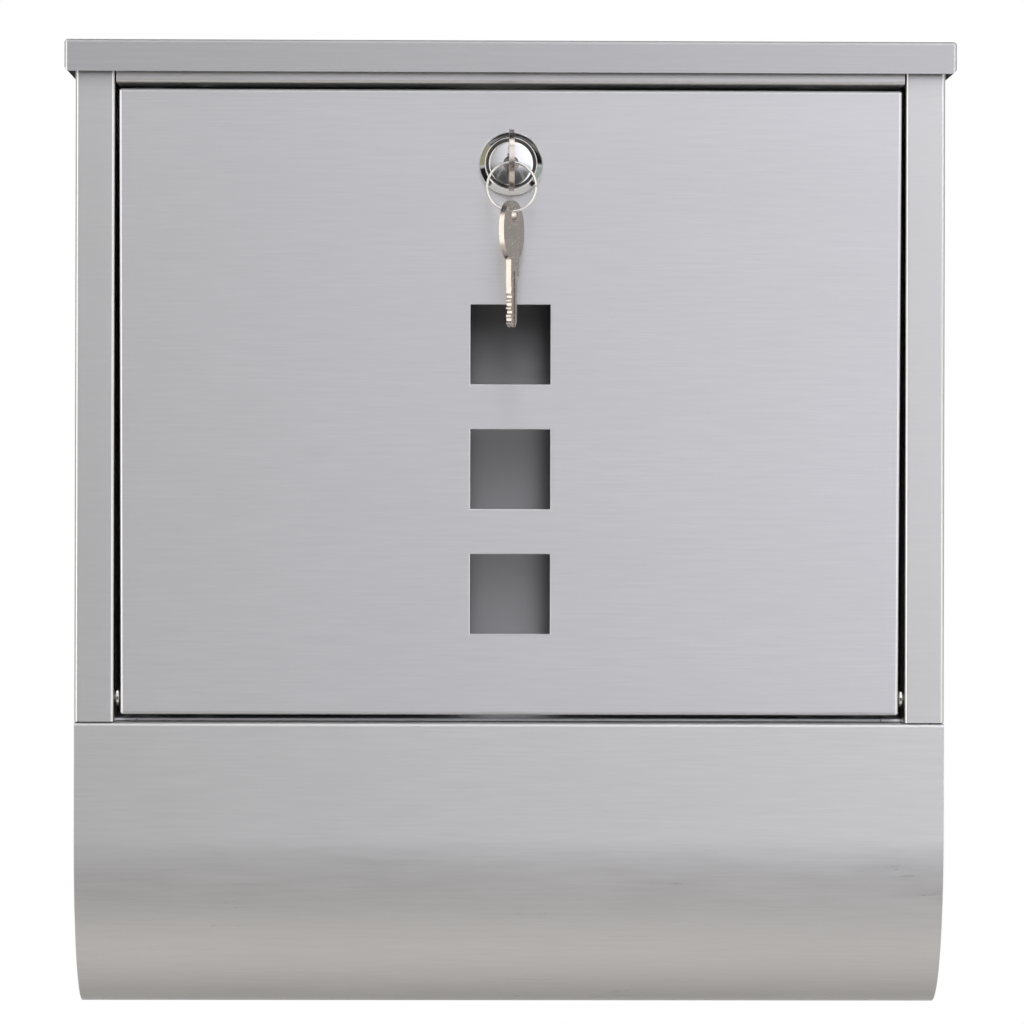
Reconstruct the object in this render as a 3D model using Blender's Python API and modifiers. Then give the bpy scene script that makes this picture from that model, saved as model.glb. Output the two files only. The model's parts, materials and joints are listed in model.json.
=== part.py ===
"""A wall-mounted steel mailbox: a lift-up lid, a lockable drop-down door with three square windows,
and an open-ended newspaper holder below. Metres, +Z up, the front faces -Y and the wall is y = 0.
The origin is the middle of the four wall screw holes, on the back panel's rear face."""

import math

import bmesh
import bpy
from mathutils import Matrix, Vector

# Sheet metal
SHEET = 0.0008  # thickness of every folded panel
BEND = 0.0012  # outer radius of a fold
FIT = 0.0003  # gap left between pieces that touch

# Cabinet, in plan
WIDTH = 0.300
DEPTH = 0.080
STILE = 0.01375  # face width of the front frame's uprights
RETURN = 0.014  # depth of the fold behind each upright

# Cabinet, in height
HEIGHT = 0.335
BOTTOM = -0.215
TOP = BOTTOM + HEIGHT
SEAM = BOTTOM + 0.0999  # top face of the newspaper holder
RAIL_LOW = BOTTOM + 0.3204  # lower edge of the top rail
WALL_TOP = TOP - SHEET - FIT  # the cabinet's rim, which the lid rests on

# Wall screws
SCREW_X = 0.110
SCREW_Z = 0.070
SCREW_HOLE = 0.00275

# Newspaper holder and compartment floor
CURVE = (0.040, 0.060)  # depth and height of the holder's lower front curve, a quarter ellipse
REAR_LIP = 0.018
FLOOR_LIP = 0.008
FLOOR_FRONT = -0.070
TAB = 0.007  # width of the small foot at the bottom of each upright

# Top rail
RAIL_HEM = 0.008
RAIL_CATCH = -0.063  # rear face of the lip that the cam locks behind
RAIL_LIP = 0.0056

# Lid
LID_OVERHANG = 0.0036
LID_FRONT = -DEPTH - 0.0035
LID_REAR = -0.0056
LID_SKIRT = 0.011
LID_CORNER = 0.0016
KNUCKLE = 0.0021
ROD = 0.0012
ROD_BORE = 0.00135
LID_AXIS = Vector((0, -SHEET - FIT - KNUCKLE, TOP - KNUCKLE - 0.00005))
HINGE_HALF = 0.145
KNUCKLES = 7
KNUCKLE_GAP = 0.0005
LEAF_LOW = TOP - 0.019

# Door
DOOR_GAP = 0.002  # beside the hinges, where the rivets draw the flanges in
DOOR_GAP_TOP = 0.0011
DOOR_HALF = WIDTH / 2 - STILE - DOOR_GAP
DOOR_LOW = BOTTOM + 0.1028
DOOR_HIGH = BOTTOM + 0.3183
DOOR_FLANGE = 0.011
DOOR_AXIS = Vector((0, -DEPTH + 0.0055, BOTTOM + 0.1087))
RIVET = 0.00155
RIVET_HEAD = 0.003
RIVET_HEAD_HEIGHT = 0.001
SPACER = 0.00325
SPACER_THICK = 0.0014
WINDOW = 0.0275
WINDOW_PITCH = 0.043
WINDOW_MIDDLE = BOTTOM + 0.18665

# Cam lock: its axis is along Y, and depths are measured outwards from the door's face
LOCK = Vector((0, -DEPTH, BOTTOM + 0.2926))
BEZEL = 0.011
BEZEL_FRONT = 0.0036
BARREL = 0.008
BARREL_END = -0.017
PLUG = 0.00605
PLUG_BORE = 0.0062
DISC = 0.0076
DISC_FRONT = 0.003
DISC_BACK = 0.0019
PLUG_END = -0.0173
TAIL = 0.0056
TAIL_END = -0.0194
KEYWAY = (0.0024, 0.007)
KEYWAY_END = -0.0150
WAFERS = 5
WAFER_FIRST = -0.0012
WAFER_PITCH = 0.0026
WAFER = (0.0054, 0.0106, 0.0009)
WAFER_WINDOW = (0.0028, 0.0068)
GROOVE = (0.006, 0.0136)
GROOVE_END = -0.014
CAM = (0.012, 0.0355, 0.0016)

# Keys and ring
BLADE = (0.006, 0.0225, 0.0018)  # width, length, thickness
BOW = (0.0105, 0.0102)  # half of its width and of its length
BOW_POWER = 0.9  # below 1, squarer than an ellipse
NECK = (0.0025, 0.0052)  # how much wider than the blade it is on one side, and its length
KEY_HOLE = 0.0025
HOLE_FROM_END = 0.0048
INSERTED = 0.017
CUTS = (0.0004, 0.0009, 0.0006, 0.0011, 0.0005)
WIRE = 0.00045
RING = 0.0083
RING_PITCH = 0.00105
HANG = 0.0012  # how far the ring's wire sits from the middle of a key's hole
TWIST = math.radians(-20)

HOLE_AHEAD = DISC_FRONT + BLADE[1] - INSERTED + 2 * BOW[1] - HOLE_FROM_END
RING_TOP = LOCK + Vector((0, -HOLE_AHEAD, -HANG))
RING_LOW = RING_TOP + Vector((0, RING_PITCH / 2, -2 * RING))

QUARTER = math.pi / 2
TOWARDS_FRONT = (QUARTER, 0, 0)  # turns a piece's own Z to -Y
SIDEWAYS = (0, QUARTER, 0)  # turns a piece's own Z to +X


# ---- tools ----


def clear_scene():
    for obj in list(bpy.data.objects):
        bpy.data.objects.remove(obj, do_unlink=True)


def collection(name):
    made = bpy.data.collections.new(name)
    bpy.context.scene.collection.children.link(made)
    return made


def metal(name, color, roughness):
    made = bpy.data.materials.new(name)
    made.use_nodes = True
    shader = made.node_tree.nodes["Principled BSDF"]
    shader.inputs["Base Color"].default_value = (*color, 1)
    shader.inputs["Metallic"].default_value = 1
    shader.inputs["Roughness"].default_value = roughness
    return made


def origin_of(pivot):
    return pivot.location + (origin_of(pivot.parent) if pivot.parent else Vector())


def add_pivot(name, at, parent=None):
    """An empty on a joint's axis, which carries the pieces that move with it."""
    pivot = bpy.data.objects.new(name, None)
    pivot.empty_display_size = 0.02
    pivot.parent = parent
    pivot.location = at - (origin_of(parent) if parent else Vector())
    PARTS.objects.link(pivot)
    return pivot


def add_piece(name, data, look, pivot=None, at=(0, 0, 0), turn=(0, 0, 0)):
    """Links a piece at its place in the world, under the pivot that carries it."""
    piece = bpy.data.objects.new(name, data)
    piece.data.materials.append(look)
    piece.parent = pivot
    piece.location = Vector(at) - (origin_of(pivot) if pivot else Vector())
    piece.rotation_euler = turn
    PARTS.objects.link(piece)
    return piece


def mesh_from(bm, name):
    mesh = bpy.data.meshes.new(name)
    bm.to_mesh(mesh)
    bm.free()
    return mesh


def add_sheet(name, bm, look, pivot=None):
    """Gives an open sheet, modelled in the world, its thickness inwards and the pivot's place as origin."""
    middle = sum((face.calc_center_median() for face in bm.faces), Vector()) / len(bm.faces)
    facing = sum(
        face.normal.dot(face.calc_center_median() - middle) * face.calc_area() for face in bm.faces
    )
    if facing < 0:
        bmesh.ops.reverse_faces(bm, faces=bm.faces)
    at = origin_of(pivot) if pivot else Vector()
    bmesh.ops.translate(bm, verts=bm.verts, vec=-at)
    piece = add_piece(name, mesh_from(bm, name), look, pivot, at)
    solidify = piece.modifiers.new("thickness", "SOLIDIFY")
    solidify.thickness = SHEET
    solidify.offset = -1
    solidify.use_even_offset = True
    return piece


def rounded(path, steps=4):
    """The points of a bent line, from (a, b, radius) corners."""
    points = []
    for i, (a, b, radius) in enumerate(path):
        corner = Vector((a, b))
        if radius == 0:
            points.append(corner)
            continue
        before = (Vector(path[i - 1][:2]) - corner).normalized()
        after = (Vector(path[i + 1][:2]) - corner).normalized()
        half = before.angle(after) / 2
        centre = corner + (before + after).normalized() * radius / math.sin(half)
        reach = radius / math.tan(half)
        first = corner + before * reach - centre
        sweep = first.angle_signed(corner + after * reach - centre)
        count = max(steps, round(steps * radius / 0.01))
        for k in range(count + 1):
            points.append(centre + Matrix.Rotation(-sweep * k / count, 2) @ first)
    return points


def fold(path, along, low, high):
    """An open sheet: a bent line swept along X or Z."""
    bm = bmesh.new()
    place = (lambda s, p: (s, p[0], p[1])) if along == "X" else (lambda s, p: (p[0], p[1], s))
    line = [bm.verts.new(place(low, point)) for point in rounded(path)]
    edges = [bm.edges.new(pair) for pair in zip(line, line[1:])]
    swept = bmesh.ops.extrude_edge_only(bm, edges=edges)["geom"]
    moved = [item for item in swept if isinstance(item, bmesh.types.BMVert)]
    bmesh.ops.translate(bm, verts=moved, vec=place(high - low, (0, 0)))
    bmesh.ops.recalc_face_normals(bm, faces=bm.faces)
    return bm


def tray(low, high, missing):
    """An open sheet: a box without the faces that point along the missing directions, its folds rounded."""
    bm = bmesh.new()
    bmesh.ops.create_cube(bm, size=1)
    size = Vector(high) - Vector(low)
    bmesh.ops.scale(bm, verts=bm.verts, vec=size)
    bmesh.ops.translate(bm, verts=bm.verts, vec=(Vector(low) + Vector(high)) / 2)
    gone = [face for face in bm.faces if any(face.normal.dot(way) > 0.9 for way in missing)]
    bmesh.ops.delete(bm, geom=gone, context="FACES")
    folds = [edge for edge in bm.edges if len(edge.link_faces) == 2]
    bmesh.ops.bevel(bm, geom=folds, offset=BEND, segments=4, profile=0.5, affect="EDGES")
    return bm


def add_cutter(name, bm, at, turn=(0, 0, 0)):
    cutter = bpy.data.objects.new(name, mesh_from(bm, name))
    cutter.location = at
    cutter.rotation_euler = turn
    cutter.hide_render = True
    cutter.display_type = "WIRE"
    CUTTERS.objects.link(cutter)
    return cutter


def block(name, low, high):
    """A helper box between two corners."""
    bm = bmesh.new()
    bmesh.ops.create_cube(bm, size=1)
    low, high = Vector(low), Vector(high)
    bmesh.ops.scale(bm, verts=bm.verts, vec=high - low)
    return add_cutter(name, bm, (low + high) / 2)


def round_bar(name, radius, low, high, along, at, segments=24):
    """A helper cylinder from low to high along an axis (a world vector) through a point."""
    bm = bmesh.new()
    bmesh.ops.create_cone(
        bm, cap_ends=True, segments=segments, radius1=radius, radius2=radius, depth=high - low
    )
    turn = Vector(along).to_track_quat("Z", "Y").to_euler()
    return add_cutter(name, bm, Vector(at) + Vector(along) * (low + high) / 2, turn)


def combine(piece, operation, helper):
    boolean = piece.modifiers.new(operation.lower(), "BOOLEAN")
    boolean.operation = operation
    boolean.object = helper


def circle(radius, steps=32):
    turns = [2 * math.pi * k / steps for k in range(steps)]
    return [(radius * math.cos(t), radius * math.sin(t)) for t in turns]


def rectangle(width, height):
    return [
        (-width / 2, -height / 2),
        (width / 2, -height / 2),
        (width / 2, height / 2),
        (-width / 2, height / 2),
    ]


def add_plate(name, outlines, thickness, look, pivot, at, turn):
    """A flat piece: closed outlines in its own XY, the first its edge and the others its holes."""
    curve = bpy.data.curves.new(name, "CURVE")
    curve.dimensions = "2D"
    curve.fill_mode = "BOTH"
    curve.extrude = thickness / 2
    for outline in outlines:
        spline = curve.splines.new("POLY")
        spline.points.add(len(outline) - 1)
        spline.use_cyclic_u = True
        for point, (a, b) in zip(spline.points, outline):
            point.co = (a, b, 0, 1)
    return add_piece(name, curve, look, pivot, at, turn)


def add_turned(name, profile, look, pivot, at, turn, steps=40):
    """A turned piece: (radius, height) points down its outer side, swept round its own Z."""
    bm = bmesh.new()
    line = [bm.verts.new((radius, 0, height)) for radius, height in profile]
    ring = profile[0][0] > 0
    for pair in zip(line, line[1:] + line[:1] if ring else line[1:]):
        bm.edges.new(pair)
    piece = add_piece(name, mesh_from(bm, name), look, pivot, at, turn)
    screw = piece.modifiers.new("turn", "SCREW")
    screw.steps = steps
    screw.render_steps = steps
    screw.use_merge_vertices = True
    screw.merge_threshold = 0.00001
    return piece


# ---- materials ----


def body_steel():
    return metal("body_steel", (0.52, 0.53, 0.55), 0.34)


def door_steel():
    return metal("door_steel", (0.60, 0.61, 0.64), 0.36)


def lid_steel():
    return metal("lid_steel", (0.50, 0.51, 0.53), 0.34)


def bright_steel():
    return metal("bright_steel", (0.62, 0.62, 0.60), 0.22)


def chrome():
    return metal("lock_chrome", (0.78, 0.78, 0.78), 0.06)


def zinc():
    return metal("zinc", (0.55, 0.56, 0.58), 0.30)


def wafer_brass():
    return metal("wafer_brass", (0.62, 0.47, 0.20), 0.30)


def key_nickel():
    return metal("key_nickel", (0.48, 0.45, 0.40), 0.25)


# ---- cabinet ----


def add_housing(look):
    """Back panel, side walls and front uprights, folded from one sheet. The back runs down behind the holder."""
    half = WIDTH / 2
    inner = half - STILE
    floor = SEAM + FIT
    plan = [
        (-inner, -DEPTH + RETURN, 0),
        (-inner, -DEPTH, BEND),
        (-half, -DEPTH, BEND),
        (-half, 0, BEND),
        (half, 0, BEND),
        (half, -DEPTH, BEND),
        (inner, -DEPTH, BEND),
        (inner, -DEPTH + RETURN, 0),
    ]
    bm = fold(plan, "Z", floor, WALL_TOP)
    low_back = [
        edge
        for edge in bm.edges
        if all(abs(v.co.y) < 1e-6 and abs(v.co.z - floor) < 1e-6 for v in edge.verts)
    ]
    swept = bmesh.ops.extrude_edge_only(bm, edges=low_back)["geom"]
    moved = [item for item in swept if isinstance(item, bmesh.types.BMVert)]
    bmesh.ops.translate(bm, verts=moved, vec=(0, 0, BOTTOM + SHEET - floor))
    bmesh.ops.recalc_face_normals(bm, faces=bm.faces)
    housing = add_sheet("housing_shell", bm, look)
    for side in (-1, 1):
        near, far = sorted((side * (inner - TAB), side * (inner + SHEET / 2)))
        foot = block("foot", (near, FLOOR_FRONT, floor), (far, -DEPTH + RETURN, floor + SHEET))
        combine(housing, "UNION", foot)
        at = (side * inner, DOOR_AXIS.y, DOOR_AXIS.z)
        hole = round_bar("hinge_hole", RIVET + 0.0002, -0.003, 0.003, (1, 0, 0), at)
        combine(housing, "DIFFERENCE", hole)
        for height in (-SCREW_Z, SCREW_Z):
            at = (side * SCREW_X, 0, height)
            hole = round_bar("screw_hole", SCREW_HOLE, -0.003, 0.003, (0, 1, 0), at)
            combine(housing, "DIFFERENCE", hole)
    return housing


def add_floor(look):
    """The letter compartment's floor, with lips welded to the back panel and the side walls."""
    half = WIDTH / 2 - SHEET - FIT
    tongue = WIDTH / 2 - STILE - TAB - FIT
    step = -DEPTH + RETURN + FIT
    back = -SHEET - FIT
    low = SEAM + FIT
    bm = bmesh.new()
    outline = (
        (-tongue, FLOOR_FRONT),
        (tongue, FLOOR_FRONT),
        (tongue, step),
        (half, step),
        (half, back),
        (-half, back),
        (-half, step),
        (-tongue, step),
    )
    bm.faces.new([bm.verts.new((x, y, low)) for x, y in outline])
    rim = [
        edge
        for edge in bm.edges
        if all(abs(abs(v.co.x) - half) < 1e-6 for v in edge.verts)
        or all(abs(v.co.y - back) < 1e-6 for v in edge.verts)
    ]
    swept = bmesh.ops.extrude_edge_only(bm, edges=rim)["geom"]
    moved = [item for item in swept if isinstance(item, bmesh.types.BMVert)]
    bmesh.ops.translate(bm, verts=moved, vec=(0, 0, FLOOR_LIP))
    bmesh.ops.recalc_face_normals(bm, faces=bm.faces)
    return add_sheet("floor_panel", bm, look)


def add_holder(look, steps=14):
    """The newspaper holder: one sheet bent round a tube that is open at both ends."""
    back = -SHEET - FIT
    deep, high = CURVE
    turns = [QUARTER * k / steps for k in range(steps + 1)]
    curve = [(-DEPTH + deep * (1 - math.sin(t)), BOTTOM + high * (1 - math.cos(t)), 0) for t in turns]
    section = [
        (back, BOTTOM + REAR_LIP, 0),
        (back, BOTTOM, BEND),
        *curve,
        (-DEPTH, SEAM, BEND),
        (back, SEAM, 0),
    ]
    return add_sheet("newspaper_holder", fold(section, "X", -WIDTH / 2, WIDTH / 2), look)


def add_top_rail(look):
    """The channel over the door. Its rear lip is what the cam locks behind."""
    half = WIDTH / 2 - STILE - FIT
    section = [
        (-DEPTH + RAIL_HEM, WALL_TOP, 0),
        (-DEPTH, WALL_TOP, BEND),
        (-DEPTH, RAIL_LOW, BEND),
        (RAIL_CATCH, RAIL_LOW, BEND),
        (RAIL_CATCH, RAIL_LOW + RAIL_LIP, 0),
    ]
    return add_sheet("top_rail", fold(section, "X", -half, half), look)


# ---- lid ----


def knuckle_spans():
    """(from, to) along X for each hinge knuckle. The lid's are every second one."""
    pitch = 2 * HINGE_HALF / KNUCKLES
    for k in range(KNUCKLES):
        start = -HINGE_HALF + k * pitch
        yield start + KNUCKLE_GAP / 2, start + pitch - KNUCKLE_GAP / 2


def join_knuckle(piece, low, high):
    barrel = round_bar("knuckle", KNUCKLE, low, high, (1, 0, 0), LID_AXIS)
    combine(piece, "UNION", barrel)


def bore_knuckles(piece):
    reach = HINGE_HALF + 0.005
    combine(piece, "DIFFERENCE", round_bar("rod_bore", ROD_BORE, -reach, reach, (1, 0, 0), LID_AXIS))


def trim_lid(lid, half):
    """Keeps what is inside a long bar whose two lower edges are rounded."""
    bm = bmesh.new()
    bmesh.ops.create_cube(bm, size=1)
    margin = 0.003
    low, high = TOP - LID_SKIRT, TOP + margin
    bmesh.ops.scale(bm, verts=bm.verts, vec=(2 * half, 0.12, high - low))
    lower = [
        edge
        for edge in bm.edges
        if all(v.co.z < 0 for v in edge.verts) and abs(edge.verts[0].co.x - edge.verts[1].co.x) < 1e-6
    ]
    bmesh.ops.bevel(
        bm, geom=lower, offset=LID_CORNER, segments=5, profile=0.5, affect="EDGES", clamp_overlap=True
    )
    combine(lid, "INTERSECT", add_cutter("lid_outline", bm, (0, -DEPTH / 2, (low + high) / 2)))


def add_lid(look, pivot):
    half = WIDTH / 2 + LID_OVERHANG
    low = (-half, LID_FRONT, TOP - LID_SKIRT - 0.001)
    sheet = tray(low, (half, LID_REAR, TOP), missing=(Vector((0, 0, -1)), Vector((0, 1, 0))))
    lid = add_sheet("lid", sheet, look, pivot)
    trim_lid(lid, half + 0.00002)
    for start, end in list(knuckle_spans())[1::2]:
        tongue = block("tongue", (start, LID_REAR - 0.001, TOP - SHEET), (end, LID_AXIS.y, TOP))
        combine(lid, "UNION", tongue)
        join_knuckle(lid, start, end)
    bore_knuckles(lid)
    return lid


def add_lid_hinge(look):
    """The leaf welded inside the back panel, and the rod through both rows of knuckles."""
    back = -SHEET - FIT
    clear = LID_AXIS.z - KNUCKLE - 2 * FIT
    bm = bmesh.new()
    bmesh.ops.create_cube(bm, size=1)
    bmesh.ops.scale(bm, verts=bm.verts, vec=(2 * HINGE_HALF, SHEET, clear - LEAF_LOW))
    at = (0, back - SHEET / 2, (clear + LEAF_LOW) / 2)
    leaf = add_piece("lid_hinge_leaf", mesh_from(bm, "lid_hinge_leaf"), look, at=at)
    for start, end in list(knuckle_spans())[::2]:
        combine(leaf, "UNION", block("web", (start, back - SHEET, clear - 0.001), (end, back, LID_AXIS.z)))
        join_knuckle(leaf, start, end)
    bore_knuckles(leaf)
    rod_half = HINGE_HALF + 0.003
    profile = [(0, rod_half), (ROD, rod_half), (ROD, -rod_half), (0, -rod_half)]
    add_turned("lid_hinge_rod", profile, bright_steel(), None, LID_AXIS, SIDEWAYS, steps=20)


# ---- door ----


def add_door(look, pivot):
    """A shallow tray, a little wider at the top than at the hinges."""
    low = (-DOOR_HALF, -DEPTH, DOOR_LOW)
    high = (DOOR_HALF, -DEPTH + DOOR_FLANGE, DOOR_HIGH)
    sheet = tray(low, high, missing=(Vector((0, 1, 0)),))
    for vert in sheet.verts:
        rise = max(0, (vert.co.z - DOOR_AXIS.z) / (DOOR_HIGH - DOOR_AXIS.z))
        vert.co.x += math.copysign(rise * (DOOR_GAP - DOOR_GAP_TOP), vert.co.x)
    door = add_sheet("door_panel", sheet, look, pivot)
    front, behind = -DEPTH - 0.003, -DEPTH + 0.003
    for k in (-1, 0, 1):
        middle = WINDOW_MIDDLE + k * WINDOW_PITCH
        low = (-WINDOW / 2, front, middle - WINDOW / 2)
        combine(door, "DIFFERENCE", block("window", low, (WINDOW / 2, behind, middle + WINDOW / 2)))
    hole = round_bar("lock_hole", BARREL + 0.0002, -0.003, 0.003, (0, 1, 0), LOCK, segments=40)
    combine(door, "DIFFERENCE", hole)
    for side in (-1, 1):
        at = (side * DOOR_HALF, DOOR_AXIS.y, DOOR_AXIS.z)
        hole = round_bar("rivet_hole", RIVET + 0.0001, -0.002, 0.002, (1, 0, 0), at)
        combine(door, "DIFFERENCE", hole)
    return door


def add_door_hinge(side, name, look):
    """A rivet through the upright's fold and the door's flange, and the spacer between them."""
    inner = WIDTH / 2 - STILE
    stem = inner + SHEET + FIT
    tail = DOOR_HALF - SHEET - FIT
    crown = RIVET_HEAD * 0.7
    profile = [
        (0, stem + RIVET_HEAD_HEIGHT),
        (crown, stem + RIVET_HEAD_HEIGHT * 0.8),
        (RIVET_HEAD, stem),
        (RIVET, stem),
        (RIVET, tail),
        (RIVET_HEAD, tail),
        (crown, tail - RIVET_HEAD_HEIGHT * 0.8),
        (0, tail - RIVET_HEAD_HEIGHT),
    ]
    at = (0, DOOR_AXIS.y, DOOR_AXIS.z)
    turn = (0, side * QUARTER, 0)
    add_turned("door_hinge_rivet_" + name, profile, look, None, at, turn, steps=24)
    outlines = [circle(SPACER), circle(RIVET + FIT, 24)]
    at = (side * (inner + DOOR_HALF) / 2, DOOR_AXIS.y, DOOR_AXIS.z)
    add_plate("door_hinge_spacer_" + name, outlines, SPACER_THICK, look, None, at, turn)


# ---- lock ----


def at_depth(depth):
    """A point on the lock's axis, outwards from the door's face."""
    return LOCK - Vector((0, depth, 0))


def lock_block(name, width, height, front, back):
    """A helper box centred on the lock's axis, between two depths."""
    low = LOCK + Vector((-width / 2, -front, -height / 2))
    return block(name, low, LOCK + Vector((width / 2, -back, height / 2)))


def lock_bar(name, radius, front, back):
    return round_bar(name, radius, back, front, (0, -1, 0), LOCK)


def add_lock_housing(look, pivot):
    profile = [
        (0.0087, BEZEL_FRONT - 0.0003),
        (0.0090, BEZEL_FRONT),
        (0.0096, BEZEL_FRONT - 0.0001),
        (0.0104, BEZEL_FRONT - 0.0007),
        (0.0109, BEZEL_FRONT - 0.0017),
        (BEZEL, BEZEL_FRONT - 0.0026),
        (BEZEL, FIT),
        (BARREL, FIT),
        (BARREL, BARREL_END),
        (PLUG_BORE, BARREL_END),
        (PLUG_BORE, DISC_BACK - FIT),
        (DISC + FIT, DISC_BACK - FIT),
        (0.0081, DISC_FRONT - 0.0004),
    ]
    housing = add_turned("lock_housing", profile, look, pivot, at_depth(0), TOWARDS_FRONT, steps=56)
    thin, wide = GROOVE
    combine(housing, "DIFFERENCE", lock_block("groove", thin, wide, -0.0003, GROOVE_END))
    combine(housing, "DIFFERENCE", lock_block("groove", wide, thin, -0.0003, GROOVE_END))
    return housing


def add_plug(look, pivot):
    """The turning plug: a polished disc in front, wafer slots along it and a square tail for the cam."""
    profile = [
        (0, DISC_FRONT),
        (DISC * 0.5, DISC_FRONT - 0.0001),
        (DISC * 0.95, DISC_FRONT - 0.0004),
        (DISC, DISC_FRONT - 0.0006),
        (DISC, DISC_BACK),
        (PLUG, DISC_BACK),
        (PLUG, PLUG_END),
        (0, PLUG_END),
    ]
    plug = add_turned("lock_plug", profile, look, pivot, at_depth(0), TOWARDS_FRONT, steps=48)
    combine(plug, "UNION", lock_block("tail", TAIL, TAIL, PLUG_END + 0.0005, TAIL_END))
    combine(plug, "DIFFERENCE", lock_bar("recess", 0.003, DISC_FRONT + 0.001, DISC_FRONT - 0.0008))
    combine(plug, "DIFFERENCE", lock_block("keyway", *KEYWAY, DISC_FRONT + 0.001, KEYWAY_END))
    combine(plug, "DIFFERENCE", lock_bar("screw_bore", 0.002, PLUG_END - 0.0003, TAIL_END - 0.001))
    for k in range(WAFERS):
        middle = WAFER_FIRST - k * WAFER_PITCH
        half = WAFER[2] / 2 + 0.00015
        slot = lock_block("wafer_slot", WAFER[0] + 0.0004, 0.014, middle + half, middle - half)
        combine(plug, "DIFFERENCE", slot)
    return plug


def add_wafers(look, pivot):
    """Flat tumblers with a window for the key. Without the key they drop into the barrel's grooves."""
    for k in range(WAFERS):
        outlines = [rectangle(*WAFER[:2]), rectangle(*WAFER_WINDOW)]
        at = at_depth(WAFER_FIRST - k * WAFER_PITCH)
        add_plate(f"wafer_{k + 1}", outlines, WAFER[2], look, pivot, at, TOWARDS_FRONT)


def add_fixings(look, pivot):
    """The toothed washer and the hexagon nut that clamp the lock to the door."""
    teeth = 24
    star = [
        (radius * math.cos(turn), radius * math.sin(turn))
        for k in range(2 * teeth)
        for radius, turn in [((0.0112, 0.0104)[k % 2], math.pi * k / teeth)]
    ]
    bore = circle(BARREL + 0.0002, 40)
    washer = -SHEET - FIT - 0.0004
    add_plate("lock_washer", [star, bore], 0.0008, look, pivot, at_depth(washer), TOWARDS_FRONT)
    nut = washer - 0.0004 - FIT - 0.002
    outlines = [circle(0.0115, 6), bore]
    add_plate("lock_nut", outlines, 0.004, look, pivot, at_depth(nut), TOWARDS_FRONT)


def add_cam(look, pivot):
    """The cam on the plug's tail, held by a washer and a screw. At rest it lies level, clear of the rail."""
    width, length, thick = CAM
    half = width / 2
    turns = [QUARTER + math.pi * k / 8 for k in range(9)]
    tip = [(half - length + half * math.cos(t), half * math.sin(t)) for t in turns]
    root = [(half * math.cos(t + math.pi), half * math.sin(t + math.pi)) for t in turns]
    square = rectangle(TAIL + 0.0004, TAIL + 0.0004)
    middle = PLUG_END - FIT - thick / 2
    add_plate("cam", [tip + root, square], thick, look, pivot, at_depth(middle), TOWARDS_FRONT)
    washer = TAIL_END - FIT - 0.0004
    outlines = [circle(0.0046), circle(0.0022, 20)]
    add_plate("cam_washer", outlines, 0.0008, look, pivot, at_depth(washer), TOWARDS_FRONT)
    under = washer - 0.0004 - FIT
    profile = [
        (0, PLUG_END - 0.0006),
        (0.0018, PLUG_END - 0.0006),
        (0.0018, under),
        (0.0038, under),
        (0.0038, under - 0.0012),
        (0.0028, under - 0.002),
        (0, under - 0.002),
    ]
    screw = add_turned("cam_screw", profile, look, pivot, at_depth(0), TOWARDS_FRONT, steps=24)
    for size in ((0.0009, 0.0044), (0.0044, 0.0009)):
        combine(screw, "DIFFERENCE", lock_block("cross", *size, under - 0.0009, under - 0.003))


# ---- keys ----


def bow_outline(steps=32):
    """The key's rounded head, from the neck's +b edge round to the blade's -b edge."""

    def rounded_off(value):
        return math.copysign(abs(value) ** BOW_POWER, value)

    def meeting(b):
        return math.asin((b / BOW[0]) ** (1 / BOW_POWER))

    half = BLADE[0] / 2
    start, end = meeting(half + NECK[0]), 2 * math.pi - meeting(half)
    turns = [start + (end - start) * k / steps for k in range(steps + 1)]
    return [(BOW[1] * rounded_off(math.cos(t)), BOW[0] * rounded_off(math.sin(t))) for t in turns]


def blade_outline():
    """From the bow along the -b edge with its cuts, round the tip, and back to the neck's shoulder."""
    half = BLADE[0] / 2
    end = BOW[1] + BLADE[1]
    first = end - INSERTED + DISC_FRONT - WAFER_FIRST
    points = []
    for k, cut in enumerate(CUTS):
        middle = first + k * WAFER_PITCH
        points += [(middle - 0.0011, -half), (middle - 0.0004, cut - half)]
        points += [(middle + 0.0004, cut - half), (middle + 0.0011, -half)]
    points += [(end - 0.0012, -half), (end, -0.0014), (end, 0.0014), (end - 0.0015, half)]
    shoulder = BOW[1] + NECK[1]
    return points + [(shoulder, half), (shoulder, half + NECK[0])]


def add_key(name, look, pivot, at, turn):
    """A flat key. Its own X runs from its hole to its tip, and its hole is at the bow's far end."""
    shift = BOW[1] - HOLE_FROM_END
    outline = [(a + shift, b) for a, b in bow_outline() + blade_outline()]
    return add_plate(name, [outline, circle(KEY_HOLE, 24)], BLADE[2], look, pivot, at, turn)


def add_ring(look, pivot):
    """A split ring: two turns of wire, side by side, whose top pair lies evenly about its pivot."""
    curve = bpy.data.curves.new("key_ring", "CURVE")
    curve.dimensions = "3D"
    curve.bevel_depth = WIRE
    curve.bevel_resolution = 2
    curve.use_fill_caps = True
    steps = 36
    spline = curve.splines.new("POLY")
    spline.points.add(2 * steps)
    for k, point in enumerate(spline.points):
        turn = 2 * math.pi * k / steps
        across = RING_PITCH * (k / steps - 0.75)
        point.co = (RING * math.cos(turn), across, RING * math.sin(turn) - RING, 1)
    return add_piece("key_ring", curve, look, pivot, RING_TOP)


# ---- assembly ----


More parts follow.
